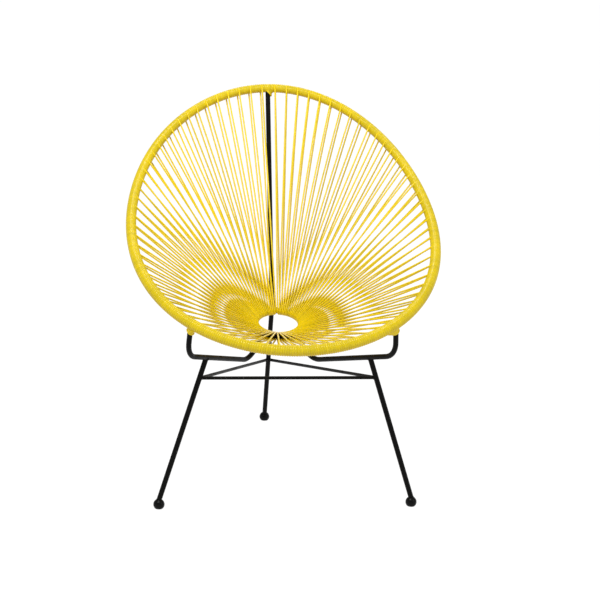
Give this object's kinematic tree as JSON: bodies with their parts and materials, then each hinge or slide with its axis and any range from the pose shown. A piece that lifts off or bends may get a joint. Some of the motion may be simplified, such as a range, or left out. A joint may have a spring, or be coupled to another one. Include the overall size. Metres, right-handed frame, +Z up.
{
  "type": "lounge chair",
  "caption": "Egg-shaped string lounge chair: plastic cord strung from a round-bar hoop to a small centre ring, on a splayed leg frame with ball feet.",
  "frame": {"origin": "on the floor, under the middle of the chair as seen from above", "axes": "+Z up; a sitter faces -Y; +X is to the right of someone who looks at the front of the chair"},
  "size_m": [0.724, 0.8077, 0.874],
  "materials": {
    "cord": "smooth yellow PVC cord with a soft sheen",
    "frame": "black powder coat, satin",
    "bare_rod": "black powder coat, hidden by the winding",
    "feet": "glossy black plastic"
  },
  "bodies": {
    "root": {"hoop_rod": "bare_rod", "centre_ring": "frame", "back_spine": "frame", "rear_leg": "frame", "front_stretcher": "frame", "rear_foot": "feet", "left_bracket": "frame", "left_leg": "frame", "left_stretcher": "frame", "left_foot": "feet", "left_cord_1": "cord", "left_cord_2": "cord", "left_cord_3": "cord", "left_cord_4": "cord", "left_cord_5": "cord", "right_bracket": "frame", "right_leg": "frame", "right_stretcher": "frame", "right_foot": "feet", "right_cord_1": "cord", "right_cord_2": "cord", "right_cord_3": "cord", "right_cord_4": "cord", "right_cord_5": "cord"}
  },
  "joints": []
}
